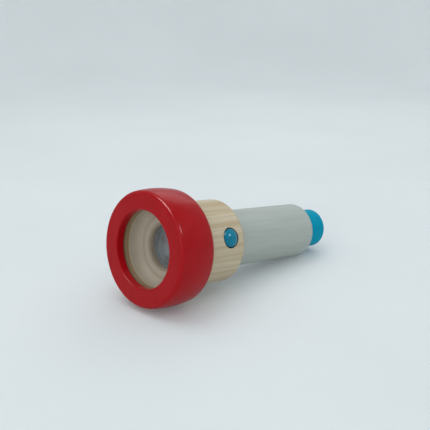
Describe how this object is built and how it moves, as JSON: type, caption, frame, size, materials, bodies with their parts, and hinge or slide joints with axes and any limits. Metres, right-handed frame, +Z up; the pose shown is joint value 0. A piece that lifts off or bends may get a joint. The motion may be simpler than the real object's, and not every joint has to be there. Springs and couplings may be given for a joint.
{
  "type": "kaleidoscope",
  "caption": "Wooden toy kaleidoscope: a wide ring and collar with a faceted lens turn on a slim mirrored barrel that ends in a narrow eyepiece.",
  "frame": {"origin": "on the ground, under the middle of the object's box, as it lies on the rim of its ring and the rear edge of its barrel", "axes": "+X along the length, from the front ring to the eyepiece; +Z up; the optical axis lies in the XZ plane and drops 8.1 degrees towards +X"},
  "size_m": [0.1624, 0.07, 0.0707],
  "materials": {
    "red_lacquer": "satin",
    "natural_wood": "matte",
    "grey_stain": "matte",
    "teal_lacquer": "satin",
    "clear_acrylic": "gloss",
    "lens_acrylic": "gloss",
    "mirror_glass": "polished",
    "black_foam": "matte",
    "black_card": "matte",
    "black_plastic": "matte"
  },
  "bodies": {
    "barrel": {"barrel": "grey_stain", "mirror_1": "mirror_glass", "mirror_2": "mirror_glass", "mirror_3": "mirror_glass", "foam_pad_1": "black_foam", "foam_pad_2": "black_foam", "foam_pad_3": "black_foam", "mirror_frame_front": "black_card", "mirror_frame_rear": "black_card", "eyepiece": "teal_lacquer", "eye_window": "clear_acrylic", "eye_window_ring": "black_plastic"},
    "head": {"front_ring": "red_lacquer", "front_window": "clear_acrylic", "window_spacer": "natural_wood", "head_collar": "natural_wood", "retaining_peg_1": "teal_lacquer", "retaining_peg_2": "teal_lacquer", "prism_lens": "lens_acrylic", "lens_ring": "black_plastic"}
  },
  "joints": [
    {"name": "head_turn", "type": "hinge", "parent": "barrel", "child": "head", "pos_m": [-0.02917, 0, 0.03027], "axis": [0.99, 0, -0.1412], "continuous": true}
  ]
}
